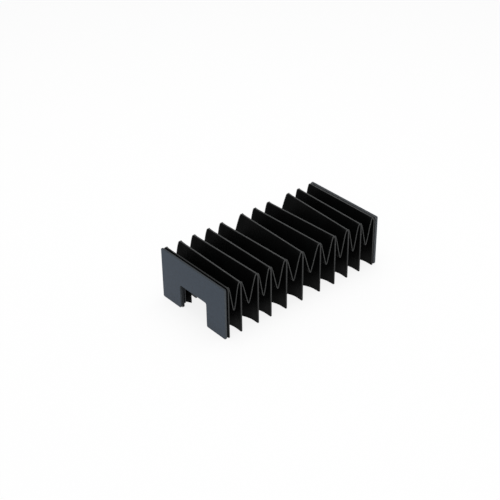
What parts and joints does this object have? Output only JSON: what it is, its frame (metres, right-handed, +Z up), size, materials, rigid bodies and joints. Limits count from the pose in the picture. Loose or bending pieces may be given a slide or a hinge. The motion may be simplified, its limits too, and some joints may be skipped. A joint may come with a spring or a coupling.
{
  "type": "bellows way cover",
  "caption": "Folded bellows cover, an inverted U with flat end plates and thin frames in its ridges, that slides along a guide way and keeps dust and chips off it.",
  "frame": {"origin": "middle of the cover's footprint, on the plane that its end plates stand on", "axes": "+X along the way towards the rear end plate, +Y across the way, +Z up away from the way"},
  "size_m": [0.2064, 0.1, 0.058],
  "materials": {
    "end_plate_board": "satin, dark slate grey",
    "backing_board": "matte black",
    "frame_board": "matte, dark grey",
    "coated_fabric": "black coated cloth with a faint sheen, worn grey along its creases"
  },
  "bodies": {
    "front": {"front_end_plate": "end_plate_board", "front_backing_frame": "backing_board", "support_frame_00": "frame_board", "bellows_skin": "coated_fabric"},
    "fold_01": {"support_frame_01": "frame_board"},
    "fold_02": {"support_frame_02": "frame_board"},
    "fold_03": {"support_frame_03": "frame_board"},
    "fold_04": {"support_frame_04": "frame_board"},
    "fold_05": {"support_frame_05": "frame_board"},
    "fold_06": {"support_frame_06": "frame_board"},
    "fold_07": {"support_frame_07": "frame_board"},
    "fold_08": {"support_frame_08": "frame_board"},
    "fold_09": {"support_frame_09": "frame_board"},
    "rear": {"support_frame_10": "frame_board", "rear_backing_frame": "backing_board", "rear_end_plate": "end_plate_board"}
  },
  "joints": [
    {"name": "fold_01_slide", "type": "slide", "parent": "front", "child": "fold_01", "axis": [1, 0, 0], "range_m": [-0.01161, 0.01161], "deforming": ["bellows_skin"]},
    {"name": "fold_02_slide", "type": "slide", "parent": "fold_01", "child": "fold_02", "axis": [1, 0, 0], "range_m": [-0.01331, 0.01331], "deforming": ["bellows_skin"]},
    {"name": "fold_03_slide", "type": "slide", "parent": "fold_02", "child": "fold_03", "axis": [1, 0, 0], "range_m": [-0.0125, 0.0125], "deforming": ["bellows_skin"]},
    {"name": "fold_04_slide", "type": "slide", "parent": "fold_03", "child": "fold_04", "axis": [1, 0, 0], "range_m": [-0.01301, 0.01301], "deforming": ["bellows_skin"]},
    {"name": "fold_05_slide", "type": "slide", "parent": "fold_04", "child": "fold_05", "axis": [1, 0, 0], "range_m": [-0.0174, 0.0174], "deforming": ["bellows_skin"]},
    {"name": "fold_06_slide", "type": "slide", "parent": "fold_05", "child": "fold_06", "axis": [1, 0, 0], "range_m": [-0.0137, 0.0137], "deforming": ["bellows_skin"]},
    {"name": "fold_07_slide", "type": "slide", "parent": "fold_06", "child": "fold_07", "axis": [1, 0, 0], "range_m": [-0.0147, 0.0147], "deforming": ["bellows_skin"]},
    {"name": "fold_08_slide", "type": "slide", "parent": "fold_07", "child": "fold_08", "axis": [1, 0, 0], "range_m": [-0.0144, 0.0144], "deforming": ["bellows_skin"]},
    {"name": "fold_09_slide", "type": "slide", "parent": "fold_08", "child": "fold_09", "axis": [1, 0, 0], "range_m": [-0.0108, 0.0108], "deforming": ["bellows_skin"]},
    {"name": "rear_slide", "type": "slide", "parent": "fold_09", "child": "rear", "axis": [1, 0, 0], "range_m": [-0.013, 0.013], "deforming": ["bellows_skin"]}
  ],
  "couplings": [
    {"joint": "fold_01_slide", "follows": "rear_slide", "ratio": 0.892},
    {"joint": "fold_02_slide", "follows": "rear_slide", "ratio": 1.023},
    {"joint": "fold_03_slide", "follows": "rear_slide", "ratio": 0.961},
    {"joint": "fold_04_slide", "follows": "rear_slide", "ratio": 1},
    {"joint": "fold_05_slide", "follows": "rear_slide", "ratio": 1.338},
    {"joint": "fold_06_slide", "follows": "rear_slide", "ratio": 1.053},
    {"joint": "fold_07_slide", "follows": "rear_slide", "ratio": 1.13},
    {"joint": "fold_08_slide", "follows": "rear_slide", "ratio": 1.107},
    {"joint": "fold_09_slide", "follows": "rear_slide", "ratio": 0.83}
  ]
}
